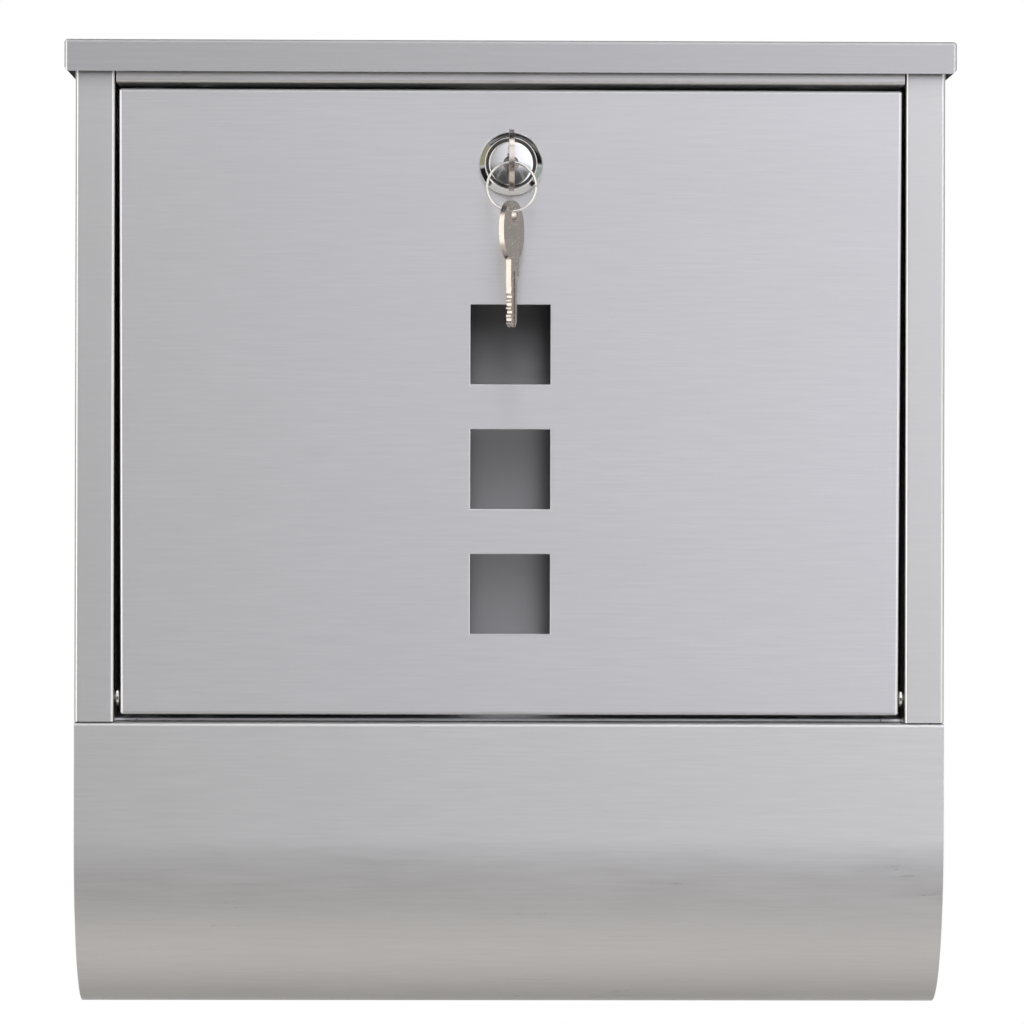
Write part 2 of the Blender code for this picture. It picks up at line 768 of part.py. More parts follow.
def build():
    lid_hinge = add_pivot("lid_hinge", LID_AXIS)
    door_hinge = add_pivot("door_hinge", DOOR_AXIS)
    lock_turn = add_pivot("lock_turn", LOCK, door_hinge)
    wafer_drop = add_pivot("wafer_drop", LOCK, lock_turn)
    key_slide = add_pivot("key_slide", LOCK, lock_turn)
    ring_swing = add_pivot("ring_swing", RING_TOP, key_slide)
    spare_key_swing = add_pivot("spare_key_swing", RING_LOW, ring_swing)

    cabinet = body_steel()
    add_housing(cabinet)
    add_floor(cabinet)
    add_holder(cabinet)
    add_top_rail(cabinet)
    add_lid_hinge(cabinet)
    add_lid(lid_steel(), lid_hinge)
    add_door(door_steel(), door_hinge)
    bright = bright_steel()
    for side, name in ((-1, "left"), (1, "right")):
        add_door_hinge(side, name, bright)

    polished = chrome()
    add_lock_housing(polished, door_hinge)
    add_plug(polished, lock_turn)
    add_wafers(wafer_brass(), wafer_drop)
    plated = zinc()
    add_fixings(plated, door_hinge)
    add_cam(plated, lock_turn)

    nickel = key_nickel()
    in_lock = LOCK - Vector((0, HOLE_AHEAD, 0))
    add_key("key_in_lock", nickel, key_slide, in_lock, (QUARTER, 0, QUARTER))
    add_ring(bright, ring_swing)
    hanging = RING_LOW - Vector((0, 0, HANG))
    add_key("spare_key", nickel, spare_key_swing, hanging, (0, QUARTER, TWIST))


clear_scene()
PARTS = collection("wall_mailbox")
CUTTERS = collection("cutters")
build()
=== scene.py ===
"""The looks of a wall-mounted steel mailbox.

Folded sheet metal, a cam lock with its keys on a split ring, procedural brushed and plated metals, a pale
studio and the camera. Metres, +Z up, front -Y.
"""

import json
import math

import bmesh
import bpy
from mathutils import Euler, Matrix, Vector


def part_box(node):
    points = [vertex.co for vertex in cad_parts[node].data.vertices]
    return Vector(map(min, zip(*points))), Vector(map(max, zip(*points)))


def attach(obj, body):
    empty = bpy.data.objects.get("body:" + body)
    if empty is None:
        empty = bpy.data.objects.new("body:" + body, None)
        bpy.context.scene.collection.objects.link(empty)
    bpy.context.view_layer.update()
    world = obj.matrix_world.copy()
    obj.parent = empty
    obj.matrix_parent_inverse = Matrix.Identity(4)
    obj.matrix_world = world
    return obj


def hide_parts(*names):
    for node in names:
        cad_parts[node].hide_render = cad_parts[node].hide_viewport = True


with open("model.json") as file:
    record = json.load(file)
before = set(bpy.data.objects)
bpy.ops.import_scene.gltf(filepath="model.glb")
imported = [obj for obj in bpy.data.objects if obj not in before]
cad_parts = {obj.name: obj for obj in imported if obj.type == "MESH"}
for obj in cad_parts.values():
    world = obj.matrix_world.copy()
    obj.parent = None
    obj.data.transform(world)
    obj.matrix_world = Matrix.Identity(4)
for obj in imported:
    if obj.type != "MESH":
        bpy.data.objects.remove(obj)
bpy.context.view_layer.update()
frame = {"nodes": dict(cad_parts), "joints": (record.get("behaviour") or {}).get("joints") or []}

QUARTER = math.pi / 2

# ---- sizes, from the frame's boxes ----

SHELL_LOW, SHELL_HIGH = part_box("housing_shell")
HOLDER_LOW, HOLDER_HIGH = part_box("newspaper_holder")
RAIL_LOW, RAIL_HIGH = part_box("top_rail")
LID_LOW, LID_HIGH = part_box("lid")
DOOR_LOW, DOOR_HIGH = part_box("door_panel")
HALF_WIDTH = SHELL_HIGH.x
FRONT = SHELL_LOW.y
BOTTOM = SHELL_LOW.z
TOP = LID_HIGH.z
SEAM = HOLDER_HIGH.z

SHEET = 0.0008
BEND = 0.0012  # outer radius of a fold
FIT = 0.0003  # gap between pieces that touch
SHEET_EDGE = 0.00012  # rounding left on a cut edge
LARGE_FACE = 2e-5  # m2: a smaller face belongs to a fold or an edge
CUT_REACH = 0.003  # how far a cutter goes past a sheet to both sides

PIVOT = {joint["name"]: Vector(joint["pos_m"]) for joint in frame["joints"] if "pos_m" in joint}

INNER = RAIL_HIGH.x + FIT  # inner faces of the uprights
RETURN = 0.014  # depth of the folds behind the uprights
FOOT = (0.007, -0.070)  # width and front edge of each upright's foot
SCREWS = (0.110, 0.070, 0.00275)  # half spacings and radius of the wall screw holes

CURVE = (0.040, 0.060)  # depth and height of the holder's elliptical front curve
REAR_LIP = 0.018  # height of the holder's lip against the back panel

LID_SKIRT = 0.011
LID_REAR = -0.0056
LID_CORNER = 0.0021  # rounding of the front skirt's lower corners
KNUCKLE = 0.0021  # outer radius
ROD_BORE = 0.00135
HINGE_HALF = 0.145
KNUCKLES = 7
KNUCKLE_GAP = 0.0005
LEAF_LOW = TOP - 0.019

RAIL_HEM = 0.008
RAIL_LIP = 0.0056

DOOR_FLANGE = 0.011
DOOR_FLARE = 0.0009  # how much wider each side is at the top than at the hinges
RIVET = (0.00155, 0.003, 0.001)  # stem radius, head radius, head height
SPACER = (0.00325, 0.0014)  # radius and thickness
WINDOW = 0.0275
WINDOW_PITCH = 0.043
WINDOW_MIDDLE = BOTTOM + 0.18665

LOCK = PIVOT["lock_turn"]
BEZEL = 0.011
BEZEL_RIM = (0.0082, -0.0006)  # radius of the dish's inner rim, height from the disc's front
CREST = (0.00885, 0.0034, 0.0002)  # radius and height of the crest's middle, its rounding
CONE = math.radians(43)  # how steeply the bezel falls from its crest
CONE_RADII = (0.0094, 0.0099, 0.0104, 0.0109)
RECESS = (0.0065, 0.00868)  # radii between which the bezel's inner faces are rougher and darkened by painted shade
BARREL = 0.008
BARREL_END = -0.017
THREAD = (0.00100, 0.00030)  # pitch and depth
PLUG = 0.00605
PLUG_BORE = 0.0062
DISC = 0.0076
DISC_FRONT = 0.003
DISC_BACK = 0.0019
PLUG_END = -0.0173
TAIL = 0.0056
TAIL_END = -0.0194
KEYWAY = (0.0024, 0.007)  # width and height
WAFER_FIRST = -0.0012
WAFER_PITCH = 0.0026
WAFER_SLOT = (0.0058, 0.014, 0.0012)  # width, height, thickness
WAFERS = 5
WAFER_DROP = 0.00071
CAM = (0.012, 0.0355, 0.0016)  # width, length, thickness
WASHER = 0.0008  # thickness of both washers
NUT = (0.0115, 0.004)  # radius over the corners, thickness
TEETH = (24, 0.0112, 0.0104)  # the toothed washer's number of teeth, tip and root radius
SCREW = (0.0018, 0.0038, 0.0006, 0.0014)  # cam screw: stem and head radius, head's rim and dome height

BLADE = (0.006, 0.0225, 0.0018)  # width, length, thickness
BOW = (0.0105, 0.0102)  # half height and half length of the key's head
BOW_POWER = 0.9  # below 1, so the head is squarer than an ellipse
NECK = (0.0025, 0.0052)  # how far the shoulder stands out past the blade, and its length
KEY_HOLE = 0.0025
HOLE_FROM_END = 0.0048
KEY_GROOVE = (0.026, 0.0011)  # length and width
INSERTED = 0.017  # how much of the blade is in the lock
CUTS = (0.0004, 0.0009, 0.0006, 0.0011, 0.0005)
HANG = 0.0012  # from the spare key's swing axis down to its hole's middle
TWIST = math.radians(-20)
WIRE = 0.00045  # wire's radius
RING = 0.0083  # radius to the wire's middle
RING_PITCH = 0.00105


# ---- studio: (azimuth, half width, elevation, half height, softness, colour) of each card ----

SURROUND = (0.11, 0.11, 0.115)
CARDS = (
    (0, 180, -65, 26, 5, (1.15, 1.07, 1.0)),
    (-129, 52, 0, 62, 6, (0.85, 0.85, 0.86)),
    (129, 52, 0, 62, 6, (0.85, 0.85, 0.86)),
    (0, 24, 20.5, 18.5, 3, ((0.82, 0.82, 0.82), (2.40, 2.40, 2.56))),
    (0, 50, 57, 13, 4, (2.1, 2.1, 2.1)),
    (-50, 26, 3, 45, 5, (2.1, 2.08, 2.0)),
    (27, 9, 3, 45, 5, (2.4, 2.4, 2.45)),
    (63, 12, 3, 45, 5, (2.3, 2.2, 2.0)),
    (-91, 13, 22, 22, 4, (0.46, 0.43, 0.30)),
    (-91, 13, 61, 17, 3, (0.02, 0.02, 0.02)),
    (-91, 13, -24, 20, 3, (0.02, 0.02, 0.02)),
    (90, 13, -16, 15, 3, (0.48, 0.54, 0.50)),
    (90, 13, 40, 37, 3, (0.015, 0.015, 0.02)),
    (90, 13, -39, 6, 3, (0.02, 0.02, 0.02)),
    (0, 180, 84, 8, 4, (0.02, 0.02, 0.02)),
)
FLOOR_RADIUS = 0.8
FLOOR = BOTTOM - 0.55

# ---- mesh tools ----


def new_piece(name, bm, look, body, node):
    """Makes a piece from a mesh in the row frame, riding on its body in the place of its CAD node."""
    mesh = bpy.data.meshes.new(name)
    bm.to_mesh(mesh)
    bm.free()
    piece = bpy.data.objects.new(name, mesh)
    bpy.context.scene.collection.objects.link(piece)
    mesh.materials.append(look)
    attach(piece, body)
    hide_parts(node)
    return piece


def place(name, bm, look, body, node):
    """A piece from a closed mesh."""
    bmesh.ops.recalc_face_normals(bm, faces=bm.faces)
    return new_piece(name, bm, look, body, node)


def place_sheet(name, bm, look, body, node):
    """A piece from an open sheet, which gets its thickness inwards."""
    bmesh.ops.recalc_face_normals(bm, faces=bm.faces)
    face_outwards(bm)
    piece = new_piece(name, bm, look, body, node)
    thicken(piece)
    return piece


def settle(piece, edge=SHEET_EDGE, segments=2, angle=35):
    """Rounds the sharp edges, applies the modifiers and gives large flat faces flat normals."""
    piece.data.shade_smooth()
    if edge:
        bevel = piece.modifiers.new("edges", "BEVEL")
        bevel.width = edge
        bevel.segments = segments
        bevel.limit_method = "ANGLE"
        bevel.angle_limit = math.radians(angle)
        bevel.use_clamp_overlap = True
        bevel.harden_normals = True
    weigh = piece.modifiers.new("flat_faces", "WEIGHTED_NORMAL")
    weigh.weight = 100
    weigh.keep_sharp = True
    graph = bpy.context.evaluated_depsgraph_get()
    mesh = bpy.data.meshes.new_from_object(piece.evaluated_get(graph), depsgraph=graph)
    cutters = [item.object for item in piece.modifiers if item.type == "BOOLEAN"]
    piece.modifiers.clear()
    old, piece.data = piece.data, mesh
    bpy.data.meshes.remove(old)
    for cutter in cutters:
        bpy.data.objects.remove(cutter, do_unlink=True)
    mesh.name = piece.name
    mark(mesh)
    return piece


def mark(mesh):
    """Stores what the materials read: folds and edges, lightened as rubbed edges and a painted highlight, and
    which faces are inner ones, darkened as painted shade.
    """
    touches_flat = [False] * len(mesh.vertices)
    for face in mesh.polygons:
        if face.area > LARGE_FACE:
            for index in face.vertices:
                touches_flat[index] = True
    wear_and_sheen = mesh.attributes.new("wear_and_sheen", "FLOAT", "POINT")
    wear_and_sheen.data.foreach_set("value", [0.0 if flat else 1.0 for flat in touches_flat])
    inner = mesh.attributes.new("inner", "FLOAT", "FACE")
    inner.data.foreach_set("value", [float(face.material_index == 1) for face in mesh.polygons])
    for face in mesh.polygons:
        face.material_index = 0
    while len(mesh.materials) > 1:
        mesh.materials.pop()


def thicken(piece):
    """Gives a sheet its thickness. The faces of its inner side get the second material for mark."""
    piece.data.materials.append(piece.data.materials[0])
    solidify = piece.modifiers.new("thickness", "SOLIDIFY")
    solidify.material_offset = 1
    solidify.thickness = SHEET
    solidify.offset = -1
    solidify.use_even_offset = True


def face_outwards(bm):
    """Turns an open sheet's normals away from its middle, so that Solidify thickens it inwards."""
    middle = sum((face.calc_center_median() for face in bm.faces), Vector()) / len(bm.faces)
    facing = sum(f.normal.dot(f.calc_center_median() - middle) * f.calc_area() for f in bm.faces)
    if facing < 0:
        bmesh.ops.reverse_faces(bm, faces=bm.faces)


def rounded(path, steps=8):
    """The points of a bent line, from (a, b, radius) corners."""
    points = []
    for i, (a, b, radius) in enumerate(path):
        corner = Vector((a, b))
        if radius == 0:
            points.append(corner)
            continue
        before = (Vector(path[i - 1][:2]) - corner).normalized()
        after = (Vector(path[i + 1][:2]) - corner).normalized()
        half = before.angle(after) / 2
        centre = corner + (before + after).normalized() * radius / math.sin(half)
        reach = radius / math.tan(half)
        first = corner + before * reach - centre
        sweep = first.angle_signed(corner + after * reach - centre)
        for k in range(steps + 1):
            points.append(centre + Matrix.Rotation(-sweep * k / steps, 2) @ first)
    return points


def fold(path, along, low, high):
    """An open sheet: a bent line swept along X or Z."""
    bm = bmesh.new()
    spot = (lambda s, p: (s, p[0], p[1])) if along == "X" else (lambda s, p: (p[0], p[1], s))
    line = [bm.verts.new(spot(low, point)) for point in rounded(path)]
    edges = [bm.edges.new(pair) for pair in zip(line, line[1:])]
    swept = bmesh.ops.extrude_edge_only(bm, edges=edges)["geom"]
    moved = [item for item in swept if isinstance(item, bmesh.types.BMVert)]
    bmesh.ops.translate(bm, verts=moved, vec=spot(high - low, (0, 0)))
    return bm


def box_mesh(low, high):
    bm = bmesh.new()
    bmesh.ops.create_cube(bm, size=1)
    low, high = Vector(low), Vector(high)
    bmesh.ops.scale(bm, verts=bm.verts, vec=high - low)
    bmesh.ops.translate(bm, verts=bm.verts, vec=(low + high) / 2)
    return bm


def tray(low, high, missing):
    """An open sheet: a box without the faces that point along the missing ways, its folds rounded."""
    bm = box_mesh(low, high)
    gone = [face for face in bm.faces if any(face.normal.dot(way) > 0.9 for way in missing)]
    bmesh.ops.delete(bm, geom=gone, context="FACES")
    folds = [edge for edge in bm.edges if len(edge.link_faces) == 2]
    bmesh.ops.bevel(bm, geom=folds, offset=BEND, segments=8, profile=0.5, affect="EDGES")
    return bm


def helper(bm, inner=False):
    """A hidden shape for combine. The faces that an inner one leaves in a piece are marked as inner, which
    the materials darken as painted shade.
    """
    for face in bm.faces:
        face.material_index = int(inner)
    mesh = bpy.data.meshes.new("helper")
    bm.to_mesh(mesh)
    bm.free()
    tool = bpy.data.objects.new("helper", mesh)
    tool.hide_render = True
    bpy.context.scene.collection.objects.link(tool)
    return tool


def block(low, high, inner=False):
    """A helper box between two corners."""
    return helper(box_mesh(low, high), inner)


def bar(radius, low, high, along, at, segments=64, inner=False):
    """A helper cylinder from low to high along an axis through a point."""
    bm = bmesh.new()
    bmesh.ops.create_cone(
        bm, cap_ends=True, segments=segments, radius1=radius, radius2=radius, depth=high - low
    )
    turn = Vector(along).to_track_quat("Z", "Y").to_matrix().to_4x4()
    middle = Vector(at) + Vector(along) * (low + high) / 2
    bmesh.ops.transform(bm, matrix=Matrix.Translation(middle) @ turn, verts=bm.verts)
    return helper(bm, inner)


def combine(piece, operation, tool):
    """Adds or cuts a helper shape, when settle applies the modifiers."""
    boolean = piece.modifiers.new(operation.lower(), "BOOLEAN")
    boolean.operation = operation
    boolean.object = tool


def placement(at, turn):
    """The matrix that takes a shape from its own axes to its place."""
    return Matrix.Translation(at) @ Euler(turn).to_matrix().to_4x4()


def turned(profile, at, turn, steps=96):
    """A solid turned from (radius, height) points down its outer side, about its own Z."""
    bm = bmesh.new()
    line = [bm.verts.new((radius, 0, height)) for radius, height in profile]
    closed = profile[0][0] > 0
    edges = [bm.edges.new(pair) for pair in zip(line, line[1:] + line[:1] if closed else line[1:])]
    bmesh.ops.spin(
        bm,
        geom=line + edges,
        cent=(0, 0, 0),
        axis=(0, 0, 1),
        angle=2 * math.pi,
        steps=steps,
        use_merge=True,
    )
    bmesh.ops.remove_doubles(bm, verts=bm.verts, dist=1e-6)
    bmesh.ops.transform(bm, matrix=placement(at, turn), verts=bm.verts)
    return bm


def plate(outline, thickness, at, turn):
    """A flat solid: a closed outline in its own XY, its middle at the given place."""
    bm = bmesh.new()
    face = bm.faces.new([bm.verts.new((a, b, -thickness / 2)) for a, b in outline])
    swept = bmesh.ops.extrude_face_region(bm, geom=[face])["geom"]
    moved = [item for item in swept if isinstance(item, bmesh.types.BMVert)]
    bmesh.ops.translate(bm, verts=moved, vec=(0, 0, thickness))
    bmesh.ops.transform(bm, matrix=placement(at, turn), verts=bm.verts)
    return bm


def arc(radius, start, end, steps, middle=(0, 0)):
    """Points on a circle from one angle to another, both ends included."""
    turns = [start + (end - start) * k / steps for k in range(steps + 1)]
    return [(middle[0] + radius * math.cos(t), middle[1] + radius * math.sin(t)) for t in turns]


def circle(radius, steps=64):
    return arc(radius, 0, 2 * math.pi * (steps - 1) / steps, steps - 1)


# ---- materials ----


class Nodes:
    """A material's node tree, with short calls for the nodes that these metals use."""

    def __init__(self, name):
        self.material = bpy.data.materials.new(name)
        self.material.use_nodes = True
        self.tree = self.material.node_tree
        self.shader = self.tree.nodes["Principled BSDF"]
        self.shader.inputs["Metallic"].default_value = 1
        self.place = self.add("ShaderNodeTexCoord").outputs["Object"]

    def add(self, kind, **settings):
        node = self.tree.nodes.new(kind)
        for key, value in settings.items():
            setattr(node, key, value)
        return node

    def link(self, source, target):
        self.tree.links.new(source, target)

    def noise(self, scale, stretch=(1, 1, 1), detail=3, roughness=0.55):
        """Noise from 0 to 1, drawn out along the axes whose stretch is small."""
        spread = self.add("ShaderNodeMapping")
        spread.inputs["Scale"].default_value = stretch
        self.link(self.place, spread.inputs["Vector"])
        made = self.add("ShaderNodeTexNoise")
        made.inputs["Scale"].default_value = scale
        made.inputs["Detail"].default_value = detail
        made.inputs["Roughness"].default_value = roughness
        self.link(spread.outputs["Vector"], made.inputs["Vector"])
        return made.outputs["Fac"]

    def spread(self, value, low, high, from_low=0.3, from_high=0.7):
        """Maps a value's usual range onto another one."""
        made = self.add("ShaderNodeMapRange")
        made.inputs["From Min"].default_value = from_low
        made.inputs["From Max"].default_value = from_high
        made.inputs["To Min"].default_value = low
        made.inputs["To Max"].default_value = high
        self.link(value, made.inputs["Value"])
        return made.outputs["Result"]

    def math(self, operation, first, second):
        made = self.add("ShaderNodeMath", operation=operation)
        for socket, value in zip(made.inputs, (first, second)):
            if isinstance(value, (int, float)):
                socket.default_value = value
            else:
                self.link(value, socket)
        return made.outputs["Value"]

    def mix(self, share, first, second):
        """A colour between two, each an RGB triple or a socket."""
        made = self.add("ShaderNodeMix", data_type="RGBA")
        self.link(share, made.inputs["Factor"])
        for socket, value in ((made.inputs["A"], first), (made.inputs["B"], second)):
            if isinstance(value, tuple):
                socket.default_value = (*value, 1)
            else:
                self.link(value, socket)
        return made.outputs["Result"]

    def bump(self, layers):
        """Stacks (height, distance) layers into the shader's normal."""
        normal = None
        for height, distance in layers:
            made = self.add("ShaderNodeBump")
            made.inputs["Distance"].default_value = distance
            self.link(height, made.inputs["Height"])
            if normal:
                self.link(normal, made.inputs["Normal"])
            normal = made.outputs["Normal"]
        self.link(normal, self.shader.inputs["Normal"])

    def stored(self, name):
        """A value that mark() stored on the mesh."""
        return self.add("ShaderNodeAttribute", attribute_name=name).outputs["Fac"]

    def tangent_across_x(self):
        """The direction on the surface at right angles to a grain along X."""
        cross = self.add("ShaderNodeVectorMath", operation="CROSS_PRODUCT")
        self.link(self.add("ShaderNodeNewGeometry").outputs["Normal"], cross.inputs[0])
        cross.inputs[1].default_value = (1, 0.01, 0.01)
        self.link(cross.outputs["Vector"], self.shader.inputs["Tangent"])

    def tangent_up(self):
        up = self.add("ShaderNodeCombineXYZ")
        up.inputs["Y"].default_value = 0.02
        up.inputs["Z"].default_value = 1
        self.link(up.outputs["Vector"], self.shader.inputs["Tangent"])


def brushed(name, color, roughness, upright=False, anisotropy=1, inside=(0.30, 0.30, 0.31)):
    """Stainless steel brushed along X, or horizontally all round where upright. Folds and edges are
    lightened, partly as rubbed edges and partly as a painted highlight; inner faces are darker as painted
    shade.
    """
    look = Nodes(name)
    grain_way = (0.08, 0.08, 1) if upright else (0.08, 1, 1)
    grain = look.noise(2600, grain_way, 2)
    streaks = look.noise(1300, (0.03, 0.03, 1) if upright else (0.03, 1, 1), 3, 0.6)
    clouds = look.noise(14, (0.5, 1, 1), 4)
    wear_and_sheen = look.noise(55, (0.3, 1, 1), 5, 0.65)
    shine = look.math("ADD", look.spread(streaks, -0.02, 0.02), look.spread(clouds, -0.02, 0.02))
    swing = 0.02 if upright else 0.045
    light = tuple(min(1, c * (1 + swing)) for c in color)
    dark = tuple(c * (1 - swing) for c in color)
    base = look.mix(look.spread(streaks, 0, 1), dark, light)
    smudge = look.mix(look.spread(wear_and_sheen, 0, 0.5), base, tuple(c * 0.97 for c in color))
    # Folds and edges are lightened by a quarter: partly rubbed edges, partly a painted highlight along the
    # folds.
    worn_and_highlit = look.math("MULTIPLY", look.stored("wear_and_sheen"), look.spread(wear_and_sheen, 0.25, 0.6))
    edged = look.mix(worn_and_highlit, smudge, tuple(min(1, c * 1.25) for c in color))
    # Inner faces take the inside colour: painted shade inside the box and the holder.
    on_inner_faces = look.mix(look.stored("inner"), edged, inside)
    look.link(on_inner_faces, look.shader.inputs["Base Color"])
    rough = look.math("ADD", look.math("ADD", shine, look.spread(grain, -0.015, 0.015)), roughness)
    look.link(rough, look.shader.inputs["Roughness"])
    look.shader.inputs["Anisotropic"].default_value = anisotropy
    if upright:
        look.tangent_up()
    else:
        look.tangent_across_x()
    relief = 0.15 if upright else 1
    look.bump(
        [(grain, 0.000001 * relief), (streaks, 0.000001 * relief), (clouds, 0.00006 * relief)]
    )
    return look.material


def plated(
    name, color, roughness, tint=None, pits=0.000004, scratches=0.04, inside=(0.16, 0.13, 0.11)
):
    """Chrome, zinc or nickel plating: cloudy colour, scratches, pits, edges lightened partly as rubbed edges
    and partly as a painted highlight, and inner faces and recesses rougher, their darker colour painted
    shade.
    """
    look = Nodes(name)
    clouds = look.noise(260, detail=4)
    fine = look.noise(2600, detail=3, roughness=0.65)
    marks = look.noise(900, (1, 0.08, 1), 3, 0.7)
    base = look.mix(look.spread(clouds, 0, 1), color, tint or tuple(c * 0.92 for c in color))
    # Folds and edges are lightened by a quarter: partly rubbed edges, partly a painted highlight.
    wear_and_sheen = look.math("MULTIPLY", look.stored("wear_and_sheen"), look.spread(clouds, 0.2, 0.7))
    worn_and_highlit = look.mix(wear_and_sheen, base, tuple(min(1, c * 1.25) for c in color))
    # Inner faces and recesses take the inside colour: painted shade.
    shaded = look.mix(look.stored("inner"), worn_and_highlit, inside)
    look.link(shaded, look.shader.inputs["Base Color"])
    varied = look.math("ADD", look.spread(marks, -scratches / 2, scratches), look.spread(fine, 0, 0.02))
    on_inner_faces = look.math("MULTIPLY", look.stored("inner"), 0.3)
    rough = look.math("MAXIMUM", look.math("ADD", look.math("ADD", varied, on_inner_faces), roughness), 0.02)
    look.link(rough, look.shader.inputs["Roughness"])
    look.bump([(fine, pits), (clouds, pits * 4)])
    return look.material


def make_looks():
    """Every material, by name. The bezel shines more than its lock."""
    return {
        # Each inside colour is painted shade on inner faces and in recesses.
        "body_steel": brushed(
            "body_steel", (0.605, 0.605, 0.605), 0.32, upright=True, inside=(0.42, 0.42, 0.43)
        ),
        "door_steel": brushed("door_steel", (0.62, 0.62, 0.635), 0.34),
        "lid_steel": brushed("lid_steel", (0.50, 0.50, 0.51), 0.34),
        "holder_steel": brushed("holder_steel", (0.64, 0.637, 0.635), 0.31, inside=(0.60, 0.60, 0.605)),
        "bright_steel": plated("bright_steel", (0.55, 0.545, 0.52), 0.14),
        "lock_chrome": plated(
            "lock_chrome",
            (0.45, 0.45, 0.455),
            0.11,
            (0.41, 0.41, 0.42),
            0.0000012,
            inside=(0.32, 0.28, 0.25),
        ),
        "bezel_chrome": plated(
            "bezel_chrome",
            (0.56, 0.56, 0.565),
            0.05,
            (0.52, 0.525, 0.53),
            0.0000012,
            inside=(0.46, 0.44, 0.43),
        ),
        "zinc": plated("zinc", (0.60, 0.60, 0.60), 0.30, (0.50, 0.52, 0.55), 0.000008),
        "wafer_brass": plated("wafer_brass", (0.70, 0.52, 0.24), 0.25, (0.60, 0.42, 0.18)),
        "key_nickel": plated(
            "key_nickel", (0.48, 0.435, 0.40), 0.20, (0.40, 0.36, 0.33), 0.000006, 0.10
        ),
    }


# ---- cabinet ----


def make_housing(looks):
    """Back panel, side walls and front uprights from one folded sheet."""
    floor = SEAM + FIT
    plan = [
        (-INNER, FRONT + RETURN, 0),
        (-INNER, FRONT, BEND),
        (-HALF_WIDTH, FRONT, BEND),
        (-HALF_WIDTH, 0, BEND),
        (HALF_WIDTH, 0, BEND),
        (HALF_WIDTH, FRONT, BEND),
        (INNER, FRONT, BEND),
        (INNER, FRONT + RETURN, 0),
    ]
    bm = fold(plan, "Z", floor, SHELL_HIGH.z)
    low_back = [
        e for e in bm.edges if all(abs(v.co.y) < 1e-6 and abs(v.co.z - floor) < 1e-6 for v in e.verts)
    ]
    swept = bmesh.ops.extrude_edge_only(bm, edges=low_back)["geom"]
    moved = [item for item in swept if isinstance(item, bmesh.types.BMVert)]
    bmesh.ops.translate(bm, verts=moved, vec=(0, 0, BOTTOM - floor))
    housing = place_sheet("housing", bm, looks["body_steel"], "cabinet", "housing_shell")
    hinge = PIVOT["door_hinge"]
    for side in (-1, 1):
        near, far = sorted((side * (INNER - FOOT[0]), side * (INNER + SHEET / 2)))
        foot = block((near, FOOT[1], floor), (far, FRONT + RETURN, floor + SHEET))
        combine(housing, "UNION", foot)
        at = (side * INNER, hinge.y, hinge.z)
        combine(housing, "DIFFERENCE", bar(RIVET[0] + 0.0002, -CUT_REACH, CUT_REACH, (1, 0, 0), at))
        for height in (-SCREWS[1], SCREWS[1]):
            at = (side * SCREWS[0], 0, height)
            combine(housing, "DIFFERENCE", bar(SCREWS[2], -CUT_REACH, CUT_REACH, (0, 1, 0), at))
    return settle(housing)


def make_holder(looks, steps=36):
    """The newspaper holder: one sheet rolled into a tube that is open at both ends."""
    back = HOLDER_HIGH.y
    deep, high = CURVE
    turns = [QUARTER * k / steps for k in range(steps + 1)]
    curve = [
        (FRONT + deep * (1 - math.sin(t)), HOLDER_LOW.z + high * (1 - math.cos(t)), 0) for t in turns
    ]
    section = [
        (back, HOLDER_LOW.z + REAR_LIP, 0),
        (back, HOLDER_LOW.z, BEND),
        *curve,
        (FRONT, SEAM, BEND),
        (back, SEAM, 0),
    ]
    bm = fold(section, "X", -HALF_WIDTH, HALF_WIDTH)
    look = looks["holder_steel"]
    return settle(place_sheet("holder", bm, look, "cabinet", "newspaper_holder"))


def make_rail(looks):
    """The channel over the door. Its rear lip is what the cam locks behind."""
    section = [
        (FRONT + RAIL_HEM, RAIL_HIGH.z, 0),
        (FRONT, RAIL_HIGH.z, BEND),
        (FRONT, RAIL_LOW.z, BEND),
        (RAIL_HIGH.y, RAIL_LOW.z, BEND),
        (RAIL_HIGH.y, RAIL_LOW.z + RAIL_LIP, 0),
    ]
    bm = fold(section, "X", RAIL_LOW.x, RAIL_HIGH.x)
    rail = place_sheet("rail", bm, looks["holder_steel"], "cabinet", "top_rail")
    return settle(rail)


# ---- lid ----


def knuckle_spans():
    """(from, to) along X for each hinge knuckle. The lid's are every second one."""
    pitch = 2 * HINGE_HALF / KNUCKLES
    for k in range(KNUCKLES):
        start = -HINGE_HALF + k * pitch
        yield start + KNUCKLE_GAP / 2, start + pitch - KNUCKLE_GAP / 2


def bore_knuckles(piece):
    """Cuts the rod's bore through a row of knuckles."""
    reach = HINGE_HALF + 0.005
    combine(piece, "DIFFERENCE", bar(ROD_BORE, -reach, reach, (1, 0, 0), PIVOT["lid_hinge"]))


